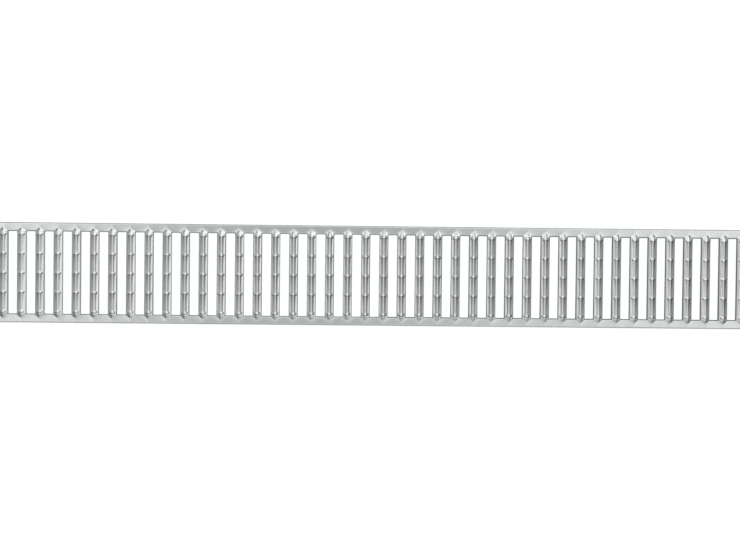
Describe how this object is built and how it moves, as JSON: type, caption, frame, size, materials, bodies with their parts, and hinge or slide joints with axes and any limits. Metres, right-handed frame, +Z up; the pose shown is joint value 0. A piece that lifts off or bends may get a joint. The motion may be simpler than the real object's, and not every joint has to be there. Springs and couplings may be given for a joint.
{
  "type": "channel drain grate",
  "caption": "Slotted grate that covers a drainage channel, pressed from galvanised steel sheet, with raised bars, grip studs and folded long edges.",
  "frame": {"origin": "under the middle of the grate, on the plane that its lips stand on", "axes": "+X along the channel, +Y across it, +Z up out of the channel"},
  "size_m": [1, 0.118, 0.0221],
  "materials": {
    "galvanised_sheet": "hot-dip galvanised, satin with a faint spangle"
  },
  "bodies": {
    "root": {"grate": "galvanised_sheet"}
  },
  "joints": []
}
